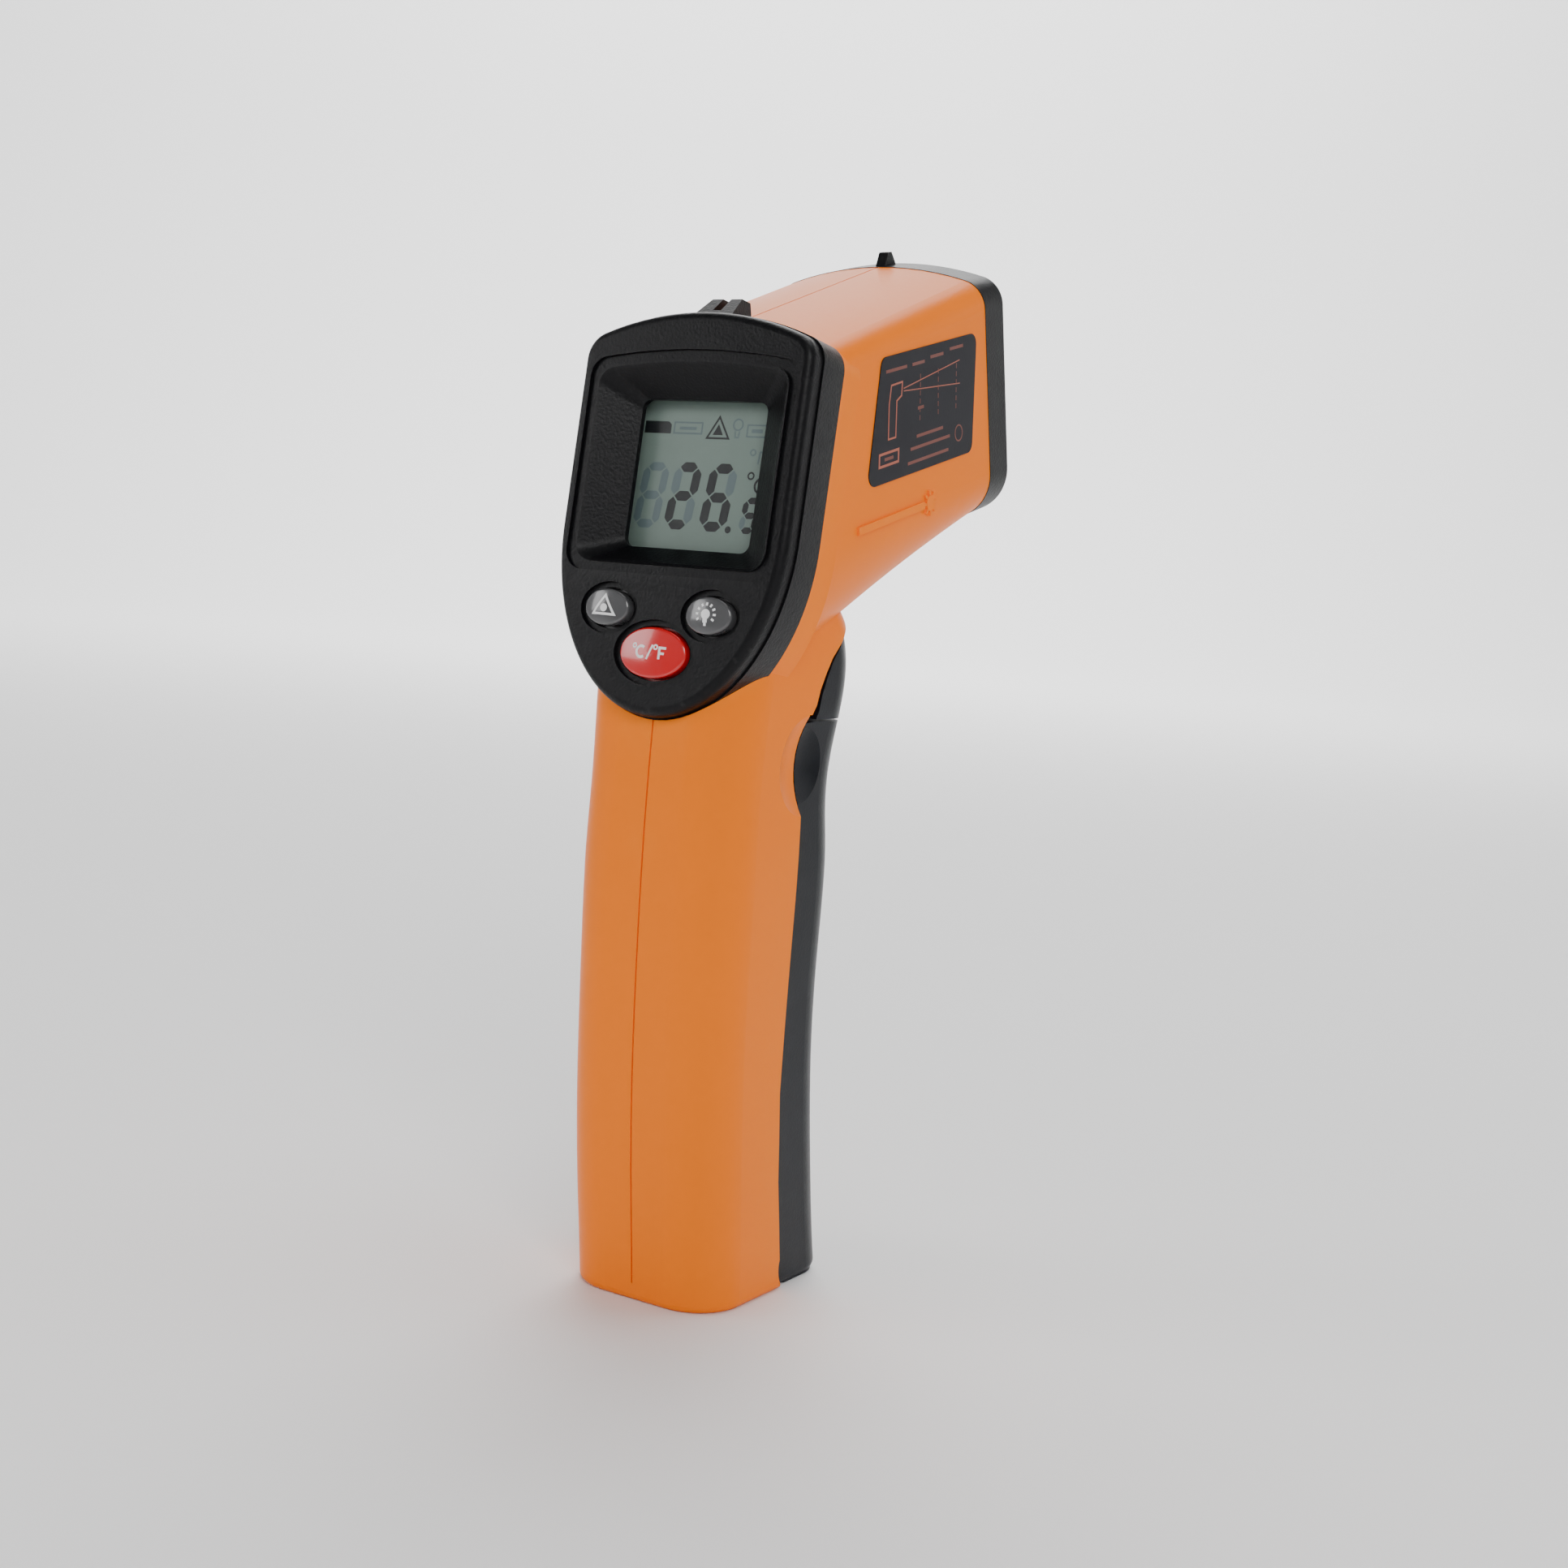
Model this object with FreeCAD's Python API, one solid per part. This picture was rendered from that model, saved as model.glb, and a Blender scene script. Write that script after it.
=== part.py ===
import FreeCAD, Part
import math
import os

# Pistol-shaped infrared thermometer, in millimetres.
# It stands on the flat end of its grip: +Z is up, the nose points along +Y, and the object is
# symmetric about X = 0. The origin lies on the flat base, under the grip's middle.
# The head is drawn level in its own frame (Y along the barrel) and the rear face in a third
# frame (x across, y up the face, z out of it), and both are placed from there.

# Stance and main frames
barrel_rise = 15.0          # how far the barrel points above level when the grip stands upright
face_lean = 21.9            # the rear face leans forward against the barrel's square section
head_y, head_z = -13.8, 127.8
nose_seat = 56.2            # where the front bezel starts, along the barrel from the head's origin

# Shells
wall = 2.0
shell_gap = 0.3             # gap between a moving or separate shell and its neighbour
panel_half = 20.4           # half width of the flat side panels
collar_half = 20.9
collar_length = 5.5

# Rear face outline: a half ellipse below straight sides, closed by a low arch
face_half, face_drop, face_spring_line, face_top = 21.2, 28.8, -7.0, 27.1
face_arch_radius, face_corner_radius = 51.0, 4.5
band_depth = 6.0            # side depth of the rear bezel up to its step
plate_rise = 3.2            # the face plate stands this far above the step
plate_inset, plate_rounding = 0.3, 1.4
face_level = band_depth + plate_rise

# Nose outline
nose_half, nose_top, nose_bottom = 20.5, 29.4, -13.7
nose_arch_radius, nose_corner_radius, nose_low_radius = 60.0, 5.0, 8.0
nose_depth = 7.6

# Grip sections: height, half width, rear, front
grip_sections = [
    (0.0, 14.8, -19.2, 20.0),
    (12.0, 15.0, -20.7, 17.0),
    (30.0, 15.1, -22.9, 13.8),
    (52.0, 15.1, -24.4, 12.2),
    (74.0, 15.2, -25.0, 11.8),
    (94.0, 15.3, -24.6, 12.6),
    (105.0, 15.4, -24.1, 13.2),
    (111.0, 14.8, -23.8, 10.5),
    (116.0, 13.6, -23.5, 5.0),
]
grip_rear_radius, grip_front_radius = 8.8, 8.0
base_edge = 1.3

# Battery door and trigger
door_side_step = 0.9        # the door lies this far inside the grip's side
door_wall = 1.8
door_top = 93.8
door_seam = [(3.0, -1.0), (1.0, 5.0), (-1.8, 19.0), (-3.5, 34.0), (-3.8, 95.0)]
hinge_y, hinge_z, hinge_pin_radius, hinge_knuckle = 6.0, 4.2, 0.75, 2.4
foot_clearance_radius = 5.2
notch_y, notch_z = -3.4, 86.6
notch_radius, notch_depth = 8.0, 2.2
trigger_half = 13.0
trigger_bottom = 94.2
trigger_seam = [(-3.8, 93.9), (-2.0, 96.5), (-1.3, 99.0), (0.0, 101.5), (1.7, 104.0), (4.4, 106.5),
                (6.6, 109.0), (9.8, 112.4)]
trigger_travel = 5.0        # degrees about its pin
trigger_pin_y, trigger_pin_z, trigger_pin_radius = 10.0, 117.2, 1.0
trigger_lug_radius, trigger_lug_half = 2.6, 5.0
spring_post_y, spring_post_z = 4.4, 121.6

# Display and buttons, on the rear face
window_half, window_low, window_high = 11.6, -9.2, 14.0
rim_half, rim_low, rim_high = 16.6, -12.0, 18.2
frame_half, frame_low, frame_high = 19.1, -13.9, 20.8
frame_arch, frame_width, frame_depth = 110.0, 1.5, 0.5
window_level, window_thick = 4.6, 1.2
small_button = (8.2, 5.7, 1.3)      # width, height and how far the dome stands above the plate
large_button = (12.2, 7.8, 0.9)
dome_drop = 0.8
buttons = {
    "laser_button": (-9.4, -19.5, small_button),
    "backlight_button": (9.4, -19.5, small_button),
    "unit_button": (0.0, -25.8, large_button),
}
button_gap = 0.35
button_travel_room = 1.0

# Electronics
board_level, board_thick = -2.8, 1.6
board_screw_places = [(-12.0, -13.6), (12.0, -13.6)]
switch_side, switch_height, plunger_radius, plunger_rise = 5.0, 2.6, 1.2, 0.9
cell_radius, cell_length, cell_x, cell_y = 5.2, 44.5, 5.6, 4.4
partition_rear, partition_front = -5.4, -4.0
low_shelf, high_shelf, shelf_thick, contact_thick = 19.4, 70.8, 1.6, 0.4
lead_radius = 0.6
sensor_z, sensor_outer, sensor_bore = 4.5, 9.4, 8.0
laser_z, laser_radius = 20.2, 3.1

# Screws, along X from the left half into the right one
screw_shank, screw_head, screw_length = 1.25, 2.4, 14.0
seam_width, seam_depth = 0.3, 0.35
screw_seat = -8.4           # where every screw's head rests, across the object
boss_radius = 3.1


def vec(x, y, z):
    return FreeCAD.Vector(x, y, z)


across = vec(1, 0, 0)
head = FreeCAD.Placement(vec(0, head_y, head_z), FreeCAD.Rotation(across, barrel_rise))
face = head.multiply(FreeCAD.Placement(vec(0, 0, 0), FreeCAD.Rotation(across, 90 - face_lean)))


def placed(shape, frame):
    moved = shape.copy()
    moved.Placement = frame.multiply(moved.Placement)
    return moved


def box(x0, x1, y0, y1, z0, z1):
    return Part.makeBox(x1 - x0, y1 - y0, z1 - z0, vec(x0, y0, z0))


def both_sides(shape):
    return shape.fuse(shape.mirror(vec(0, 0, 0), across))


def disc(radius, z0, z1, x=0.0, y=0.0):
    return Part.makeCylinder(radius, z1 - z0, vec(x, y, z0))


def rod_across(radius, x0, x1, y, z):
    return Part.makeCylinder(radius, x1 - x0, vec(x0, y, z), across)


def rod_along(radius, y0, y1, z, x=0.0):
    return Part.makeCylinder(radius, y1 - y0, vec(x, y0, z), vec(0, 1, 0))


def side_prism(points, half):
    # points are (y, z) in order around the outline; the prism runs from -half to +half across
    corners = [vec(-half, y, z) for y, z in points]
    wire = Part.makePolygon(corners + [corners[0]])
    return Part.Face(wire).extrude(vec(2 * half, 0, 0))


def line(a, b):
    return Part.LineSegment(a, b).toShape()


def arc(a, b, c):
    return Part.Arc(a, b, c).toShape()


def flipped(edges):
    # the same edges on the other side of X = 0
    return [edge.mirror(vec(0, 0, 0), across) for edge in edges]


def outline(right_side, top_arch):
    wire = Part.Wire(Part.__sortEdges__(right_side + [top_arch] + flipped(right_side)))
    return wire


def arched_top(half, top, arch_radius, corner_radius):
    # corner arc and arch that meet smoothly; returns the side's upper end, the corner and the arch
    sine = (half - corner_radius) / (arch_radius - corner_radius)
    turn = math.asin(sine)
    middle = top - arch_radius
    corner = vec(half - corner_radius, middle + (arch_radius - corner_radius) * math.cos(turn), 0)
    meet = vec(arch_radius * sine, middle + arch_radius * math.cos(turn), 0)
    half_turn = (turn + math.pi / 2) / 2
    bend = corner + vec(corner_radius * math.sin(half_turn), corner_radius * math.cos(half_turn), 0)
    side_end = vec(half, corner.y, 0)
    return side_end, arc(side_end, bend, meet), arc(meet, vec(0, top, 0), vec(-meet.x, meet.y, 0))


def face_outline(half, inset=0.0):
    a, b = half - inset, face_drop - inset
    side_end, corner, arch = arched_top(a, face_top - inset, face_arch_radius, face_corner_radius)

    def on_ellipse(degrees):
        angle = math.radians(degrees)
        return vec(a * math.cos(angle), face_spring_line + b * math.sin(angle), 0)

    low = Part.Ellipse(vec(0, face_spring_line - b, 0), vec(a, face_spring_line, 0),
                       vec(0, face_spring_line, 0))
    lower = Part.ArcOfEllipse(low, 0, math.pi / 4).toShape()
    upper = Part.ArcOfEllipse(low, math.pi / 4, math.pi / 2).toShape()
    side = line(on_ellipse(0), side_end)
    return outline([lower, upper, side, corner], arch)


def arched_window(half, low, top, low_radius, arch_radius, corner_radius):
    # a flat foot with round corners, straight sides and a low arch over them
    side_end, corner, arch = arched_top(half, top, arch_radius, corner_radius)
    bend = low_radius * (1 - math.sqrt(0.5))
    floor_end = vec(half - low_radius, low, 0)
    side_start = vec(half, low + low_radius, 0)
    lower = line(vec(0, low, 0), floor_end)
    round_low = arc(floor_end, vec(half - bend, low + bend, 0), side_start)
    return outline([lower, round_low, line(side_start, side_end), corner], arch)


def nose_outline(inset=0.0):
    return arched_window(nose_half - inset, nose_bottom + inset, nose_top - inset, nose_low_radius - inset,
                         nose_arch_radius, nose_corner_radius)


def frame_outline(inset):
    return arched_window(frame_half - inset, frame_low + inset, frame_high - inset, 3.2, frame_arch, 3.0)


def raised(wire, z):
    wire.translate(vec(0, 0, z))
    return wire


def prism(wire, z0, z1):
    solid = Part.Face(wire).extrude(vec(0, 0, z1 - z0))
    solid.translate(vec(0, 0, z0))
    return solid


# the nose is drawn like the face, upright and looking back, at any distance along the barrel
def nose_frame(y):
    return head.multiply(FreeCAD.Placement(vec(0, y, 0), FreeCAD.Rotation(across, 90)))


def head_body(inset):
    rear = placed(face_outline(panel_half, inset), face)
    front = placed(nose_outline(inset + nose_half - panel_half), nose_frame(nose_seat))
    return Part.makeLoft([rear, front], True, True)


def grip_outline(height, half, rear, front, side_inset, end_inset):
    half = half - side_inset
    rear = rear + end_inset
    front = front - end_inset
    big = grip_rear_radius - end_inset
    small = grip_front_radius - end_inset * 0.5
    bend_big = big * (1 - math.sqrt(0.5))
    bend_small = small * (1 - math.sqrt(0.5))
    rear_mid = vec(0, rear, height)
    rear_end = vec(half - big, rear, height)
    side_low = vec(half, rear + big, height)
    side_high = vec(half, front - small, height)
    front_end = vec(half - small, front, height)
    right = [
        line(rear_mid, rear_end),
        arc(rear_end, vec(half - bend_big, rear + bend_big, height), side_low),
        line(side_low, side_high),
        arc(side_high, vec(half - bend_small, front - bend_small, height), front_end),
    ]
    return outline(right, line(front_end, vec(-front_end.x, front, height)))


def grip_body(side_inset, end_inset, sections=grip_sections):
    wires = [grip_outline(*row, side_inset, end_inset) for row in sections]
    return Part.makeLoft(wires, True, False)


def region_ahead(seam, shift=0.0):
    # everything ahead of a seam line, as a prism across the grip
    moved = [(y + shift, z) for y, z in seam]
    return side_prism(moved + [(60, moved[-1][1]), (60, moved[0][1])], 40)


bezel_seat = placed(prism(face_outline(face_half), 0, 60), face)
door_cut = region_ahead(door_seam)
trigger_cut = region_ahead(trigger_seam)
grip_half_at_notch = 15.2


def rounded_base(solid, radius):
    edges = [e for e in solid.Edges if abs(e.BoundBox.ZMin) < 1e-4 and abs(e.BoundBox.ZMax) < 1e-4]
    return solid.makeFillet(radius, edges)


def finger_dishes(growth=0.0):
    # shallow round dishes for thumb and finger, one sunk into each side across the door's seam
    ball = (notch_radius ** 2 + notch_depth ** 2) / (2 * notch_depth)
    x = grip_half_at_notch - notch_depth + ball
    return both_sides(Part.makeSphere(ball + growth, vec(x, notch_y, notch_z)))


def dish_floors():
    # the thickened wall behind each dish
    reach = rod_across(notch_radius + 1.0, -40, 40, notch_y, notch_z)
    return finger_dishes(1.5).common(reach.common(box(-40, 40, -20, 20, 70, door_top - 0.2)))


def make_housing():
    collar = placed(prism(face_outline(collar_half), -collar_length, 0), face)
    outer = head_body(0).fuse([rounded_base(grip_body(0, 0), base_edge), collar]).cut(bezel_seat)
    inner_sections = [(wall + 0.2,) + grip_sections[0][1:]] + grip_sections[1:]
    inner = grip_body(wall, wall, inner_sections)
    room = head_body(wall).fuse(inner)
    shell = outer.cut(room)
    # a fine groove where the two halves meet
    below_seam = head_body(seam_depth).fuse(grip_body(seam_depth, seam_depth))
    groove = box(-seam_width / 2, seam_width / 2, -60, 80, 3, 200).cut(below_seam)
    shell = shell.cut(groove)
    foot_clearance = rod_across(foot_clearance_radius, -20, 20, hinge_y, hinge_z)
    neck_slot = box(-trigger_lug_half - 1.2, trigger_lug_half + 1.2, 4.8, 14, 104, trigger_pin_z)
    solid_grip = grip_body(wall - 0.3, wall - 0.3)
    filling = head_body(0.6).fuse(grip_body(0.6, 0.6))
    shell = shell.fuse(dish_floors().common(filling))
    shell = shell.cut(door_cut).cut(trigger_cut).cut(finger_dishes()).cut(foot_clearance).cut(neck_slot)
    # partition behind the cells, with shelves that carry the contacts
    walls = box(-20, 20, partition_rear, partition_front, 1.5, 93.6)
    walls = walls.cut(both_sides(box(10.6, 20, -8, 0, 76, 96)))
    inside_door = grip_body(door_side_step + door_wall + 0.3, door_wall + 0.3)
    for z0 in (low_shelf - shelf_thick, high_shelf):
        shelf = box(-11.6, 11.6, partition_front - 0.4, 12, z0, z0 + shelf_thick)
        walls = walls.fuse(shelf.common(inside_door))
    # rails that hold the trigger's board by its side edges
    rails = both_sides(box(7.0, 20, -9.6, -5.8, 101.0, 109.0)).cut(trigger_board_box(0.05))
    shell = shell.fuse(walls.fuse(rails).common(solid_grip))
    # hinge ears at the foot of the grip
    ear = rod_across(hinge_knuckle, 10.6, 12.2, hinge_y, hinge_z)
    ear = ear.fuse(box(10.6, 12.2, -3, hinge_y, 1.2, hinge_z + 1.6))
    shell = shell.fuse(both_sides(ear))
    shell = shell.cut(rod_across(hinge_pin_radius, -12.2, 12.2, hinge_y, hinge_z))
    # bosses for the screws and the trigger's pin
    bosses = [both_sides(rod_across(2.4, 8.0, 19, trigger_pin_y, trigger_pin_z)),
              rod_across(0.9, -19, -5.2, spring_post_y, spring_post_z)]
    bosses += [placed(rod_across(boss_radius, -20, 20, y, z), frame) for y, z, frame in screw_places()]
    shell = shell.fuse([boss.common(filling) for boss in bosses])
    shell = shell.cut(rod_across(trigger_pin_radius, -9.0, 9.0, trigger_pin_y, trigger_pin_z))
    # raised bar and sunburst on each side panel
    bar = box(panel_half - 1, panel_half + 0.45, 10, 31.6, -7.1, -5.9)
    hub = rod_across(1.3, panel_half - 1, panel_half + 0.45, 33.6, -6.5)
    shell = shell.fuse(placed(both_sides(bar.fuse(hub)), head))
    return shell


def screw_places():
    level = FreeCAD.Placement()
    return [(-13.5, 17.0, level), (-15.5, 72.0, level), (19.5, 9.0, head), (38.0, -11.6, head)]


def make_screws_and_holes(shell_left, shell_right):
    # each screw's head sits in a counterbore of the left half
    screws = []
    for y, z, frame in screw_places():
        hole = rod_across(screw_shank + 0.15, screw_seat - 1, 0, y, z)
        well = rod_across(screw_head + 0.2, -30, screw_seat, y, z)
        shell_left = shell_left.cut(placed(hole.fuse(well), frame))
        pilot = rod_across(screw_shank, -0.5, screw_seat + screw_length, y, z)
        shell_right = shell_right.cut(placed(pilot, frame))
        shank = rod_across(screw_shank, screw_seat, screw_seat + screw_length - 0.5, y, z)
        cap = rod_across(screw_head, screw_seat - 1.6, screw_seat, y, z)
        slots = box(-20, screw_seat - 0.9, y - 0.3, y + 0.3, z - 1.4, z + 1.4)
        slots = slots.fuse(box(-20, screw_seat - 0.9, y - 1.4, y + 1.4, z - 0.3, z + 0.3))
        screws.append(placed(shank.fuse(cap).cut(slots).removeSplitter(), frame))
    return shell_left, shell_right, Part.makeCompound(screws)


def ellipse_prism(width, height, x, y, z0, z1):
    curve = Part.Ellipse(vec(x, y, z0), width / 2, height / 2)
    return Part.Face(Part.Wire(curve.toShape())).extrude(vec(0, 0, z1 - z0))


def rounded_box(half, low, high, z0, z1, radius):
    solid = box(-half, half, low, high, z0, z1)
    return solid.makeFillet(radius, [e for e in solid.Edges if e.Length > 0 and
                                     abs(e.BoundBox.ZLength - (z1 - z0)) < 1e-6])


def rounded_rectangle(half, low, high, z, radius):
    solid = rounded_box(half, low, high, z, z + 1, radius)
    bottom = [f for f in solid.Faces if abs(f.BoundBox.ZMax - z) < 1e-6][0]
    return bottom.OuterWire


def make_rear_bezel():
    step = prism(face_outline(face_half), 0, band_depth)
    plate = prism(face_outline(face_half, plate_inset), band_depth - 1, face_level)
    top_edges = [e for e in plate.Edges if e.BoundBox.ZMin > face_level - 1e-4]
    plate = plate.makeFillet(plate_rounding, top_edges)
    body = step.fuse(plate)
    hollow = prism(face_outline(face_half, plate_inset + 2.0), -1, face_level - 2.2)
    body = body.cut(hollow)
    # spigot that locates the bezel inside the housing's mouth
    spigot = prism(face_outline(panel_half, wall + 0.4), -2.5, 1.0)
    spigot = spigot.cut(prism(face_outline(panel_half, wall + 1.7), -3, 2))
    spigot = spigot.common(box(-30, 30, -8, 40, -5, 5))
    body = body.fuse(spigot)
    # display well: sloping walls with a rounded lip, inside a shallow sunken frame
    well_block = prism(frame_outline(frame_width), window_level - 1.4, face_level)
    lip = arched_window(rim_half + 0.7, rim_low - 0.7, rim_high + 0.7, 3.0, frame_arch, 2.8)
    wide = arched_window(rim_half, rim_low, rim_high, 2.4, frame_arch, 2.4)
    narrow = arched_window(window_half, window_low, window_high, 1.6, 2 * frame_arch, 1.6)
    shoulder = face_level - 0.6
    flare = Part.makeLoft([raised(wide.copy(), shoulder), raised(lip, face_level + 0.01)], True, True)
    funnel = Part.makeLoft([raised(narrow, window_level), raised(wide, shoulder)], True, True)
    well = rounded_box(window_half, window_low, window_high, -5, window_level + 0.1, 1.6)
    seat = box(-window_half - 1.3, window_half + 1.3, window_low - 1.3, window_high + 1.3, -5, window_level - 0.9)
    body = body.fuse(well_block).cut(flare).cut(funnel).cut(well).cut(seat)
    sunk = prism(frame_outline(0), face_level - frame_depth, face_level + 1)
    body = body.cut(sunk.cut(prism(frame_outline(frame_width), face_level - 1, face_level + 2)))
    for x, y in board_screw_places:
        post = disc(1.7, board_level + board_thick, face_level - 1, x, y)
        body = body.fuse(post).cut(disc(0.8, board_level, face_level - 3, x, y))
    for x, y, (width, height, rise) in buttons.values():
        hole = ellipse_prism(width + 2 * button_gap, height + 2 * button_gap, x, y, 0, face_level + 1)
        dish = ellipse_prism(width + 2.4, height + 2.4, x, y, face_level - 0.6, face_level + 1)
        body = body.cut(hole.fuse(dish))
    # rear sight: two ears with a notch between them, ramped at the back
    ears = side_prism([(23.5, 0.1), (30.3, 0.2), (30.3, 2.6), (27.0, 6.0), (23.5, 6.0)], 3.5)
    corners = [vec(x, y, -1) for x, y in ((-3.5, 27.0), (3.5, 27.0), (2.7, 30.4), (-2.7, 30.4), (-3.5, 27.0))]
    taper = Part.Face(Part.makePolygon(corners)).extrude(vec(0, 0, 9))
    ears = ears.common(taper.fuse(box(-3.5, 3.5, 20, 27, -1, 8))).cut(box(-0.75, 0.75, 27.9, 32, -5, 12))
    body = body.fuse(ears)
    return placed(body.removeSplitter(), face)


def make_nose_bezel():
    # drawn in the nose frame, whose z points back along the barrel
    front = -nose_depth
    body = prism(nose_outline(), front, 0)
    rim = [e for e in body.Edges if e.BoundBox.ZMax < front + 1e-4]
    body = body.makeFillet(1.2, rim)
    body = body.cut(prism(nose_outline(2.2), front + 2.4, 1))
    spigot = prism(nose_outline(wall + 0.7), front + 2.0, 2.5).cut(prism(nose_outline(wall + 2.0), front, 3))
    body = body.fuse(spigot)
    # sensor mouth, a shallow cone, and the laser's hole above it
    mouth = Part.makeCone(13.0, 11.0, 3.0, vec(0, sensor_z, front - 0.01))
    collar = disc(sensor_outer + 2.6, front + 1, 0.5, 0, sensor_z).cut(disc(sensor_outer + 0.2, front, 1, 0, sensor_z))
    body = body.fuse(collar).cut(mouth).cut(disc(sensor_outer + 0.2, front - 1, 1, 0, sensor_z))
    body = body.cut(disc(2.6, front - 1, 3, 0, laser_z))
    body = body.cut(Part.makeCone(3.6, 2.6, 1.0, vec(0, laser_z, front - 0.01)))
    blade = side_prism([(nose_top - 1.2, -5.6), (nose_top + 2.2, -3.6), (nose_top + 2.2, -2.4),
                        (nose_top - 1.2, -0.1)], 0.9)
    body = body.fuse(blade)
    return placed(body.removeSplitter(), nose_frame(nose_seat))


def make_door():
    outside = rounded_base(grip_body(door_side_step, 0), 1.6)
    shell = outside.cut(grip_body(door_side_step + door_wall, door_wall))
    # floor under the cells and a closing wall at the top
    inside = grip_body(door_side_step + 0.5, 0.5)
    ends = box(-20, 20, -10, 30, 0, 2.0).fuse(box(-20, 20, -10, 30, door_top - 1.8, door_top))
    shell = shell.fuse(ends.common(inside))
    band = box(-30, 30, -30, 40, 0, door_top)
    door = shell.common(band).common(region_ahead(door_seam, shell_gap))
    # the dishes run on over the door, and its top swings clear under the trigger
    door = door.fuse(dish_floors().common(outside).common(region_ahead(door_seam, shell_gap)))
    swing = math.hypot(grip_sections[5][3] - hinge_y, door_top - hinge_z)
    door = door.cut(finger_dishes()).common(rod_across(swing, -30, 30, hinge_y, hinge_z))
    # knuckles round the hinge pin, and room for the housing's ears beside them
    door = door.cut(both_sides(box(10.2, 12.7, -6, hinge_y + hinge_knuckle + 0.6, -1, 9)))
    knuckle = rod_across(hinge_z, 8.2, 10.0, hinge_y, hinge_z).common(box(0, 20, -9, hinge_y + 9, 0, 9))
    door = door.fuse(both_sides(knuckle))
    door = door.cut(box(-20, 20, -9, hinge_y, -1, hinge_z).cut(rod_across(hinge_z, -20, 20, hinge_y, hinge_z)))
    door = door.cut(rod_across(hinge_pin_radius + 0.05, -12.4, 12.4, hinge_y, hinge_z))
    return door.removeSplitter()


def make_trigger():
    pin = vec(0, trigger_pin_y, trigger_pin_z)
    band = box(-trigger_half, trigger_half, -10, 60, trigger_bottom, 105.5)
    narrow = region_ahead(trigger_seam, 0.6).common(band)
    broad = region_ahead(trigger_seam, 0.4).rotate(pin, across, trigger_travel + 0.5)
    broad = broad.common(box(-20, 20, -10, 60, trigger_bottom, 111.4))
    blank = grip_body(door_side_step, 0).common(narrow.fuse(broad))
    hollow = grip_body(door_side_step + 3.6, 2.2).common(box(-20, 20, -9, 20, trigger_bottom + 2, 109.0))
    pad = blank.cut(hollow)
    lug = rod_across(trigger_lug_radius, -trigger_lug_half, trigger_lug_half, trigger_pin_y, trigger_pin_z)
    neck = box(-trigger_lug_half, trigger_lug_half, trigger_pin_y - 2.6, trigger_pin_y + 0.9, 108.5, trigger_pin_z)
    rib = box(-1.0, 1.0, 3.2, 11.2, 101.5, 110.0)
    nub = box(-2.2, 2.2, 2.0, 3.6, 101.5, 105.5)
    trigger = pad.fuse([lug, neck, rib, nub])
    return trigger.cut(rod_across(trigger_pin_radius + 0.06, -20, 20, trigger_pin_y, trigger_pin_z)).removeSplitter()


def coil_spring(coil_radius, wire_radius, pitch, turns):
    helix = Part.makeHelix(pitch, pitch * turns, coil_radius)
    start = Part.makeCircle(wire_radius, vec(coil_radius, 0, 0), vec(0, 1, 0))
    return Part.Wire(helix.Edges).makePipeShell([Part.Wire(start)], True, True)


def lead(points, radius):
    # a wire of straight runs joined by tangent arcs
    pieces = []
    start = points[0]
    for before, corner, after in zip(points, points[1:], points[2:]):
        came, goes = (corner - before).normalize(), (after - corner).normalize()
        half_turn = came.getAngle(goes) / 2
        reach = 0.45 * min(before.distanceToPoint(corner), corner.distanceToPoint(after))
        bend = reach / math.tan(half_turn)
        inward = (goes - came).normalize()
        middle = corner + inward * (math.hypot(reach, bend) - bend)
        first, last = corner - came * reach, corner + goes * reach
        pieces += [line(start, first), arc(first, middle, last)]
        start = last
    pieces.append(line(start, points[-1]))
    path = Part.Wire(pieces)
    end = Part.Wire(Part.makeCircle(radius, points[0], points[1] - points[0]))
    return path.makePipeShell([end], True, False)


def make_trigger_spring():
    # torsion spring on the pin: one leg lies on the housing's post, the other behind the trigger's neck
    wire_radius, coil_radius, turns, pitch = 0.25, 1.5, 3, 0.62
    spring = coil_spring(coil_radius, wire_radius, pitch, turns)
    spring.Placement = FreeCAD.Placement(vec(-5.5, trigger_pin_y, trigger_pin_z),
                                         FreeCAD.Rotation(vec(0, 1, 0), -90))
    near, far = -5.5, -5.5 - turns * pitch
    upper = Part.makeCylinder(wire_radius, 4.8, vec(near, trigger_pin_y - 0.6, trigger_pin_z + 1.4),
                              vec(0, spring_post_y - trigger_pin_y + 0.9, spring_post_z - trigger_pin_z - 0.6))
    lower = Part.makeCylinder(wire_radius, 6.0, vec(far, trigger_pin_y - coil_radius, trigger_pin_z + 0.3),
                              vec(0, -0.25, -1))
    return Part.makeCompound([spring, upper, lower])


def make_button(x, y, size):
    width, height, rise = size
    top = face_level + rise
    ball = (width ** 2 / 4 + dome_drop ** 2) / (2 * dome_drop)
    cap = ellipse_prism(width, height, x, y, face_level - 3.4, top)
    cap = cap.common(Part.makeSphere(ball, vec(x, y, top - ball)))
    cap = cap.makeFillet(0.45, [e for e in cap.Edges if e.BoundBox.ZMin > top - 1.2])
    flange = ellipse_prism(width + 1.8, height + 1.8, x, y, face_level - 4.2, face_level - 2.2 - 0.1)
    stem = disc(1.6, board_level + board_thick + switch_height + plunger_rise, face_level - 3, x, y)
    return placed(cap.fuse([flange, stem]).removeSplitter(), face)


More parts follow.
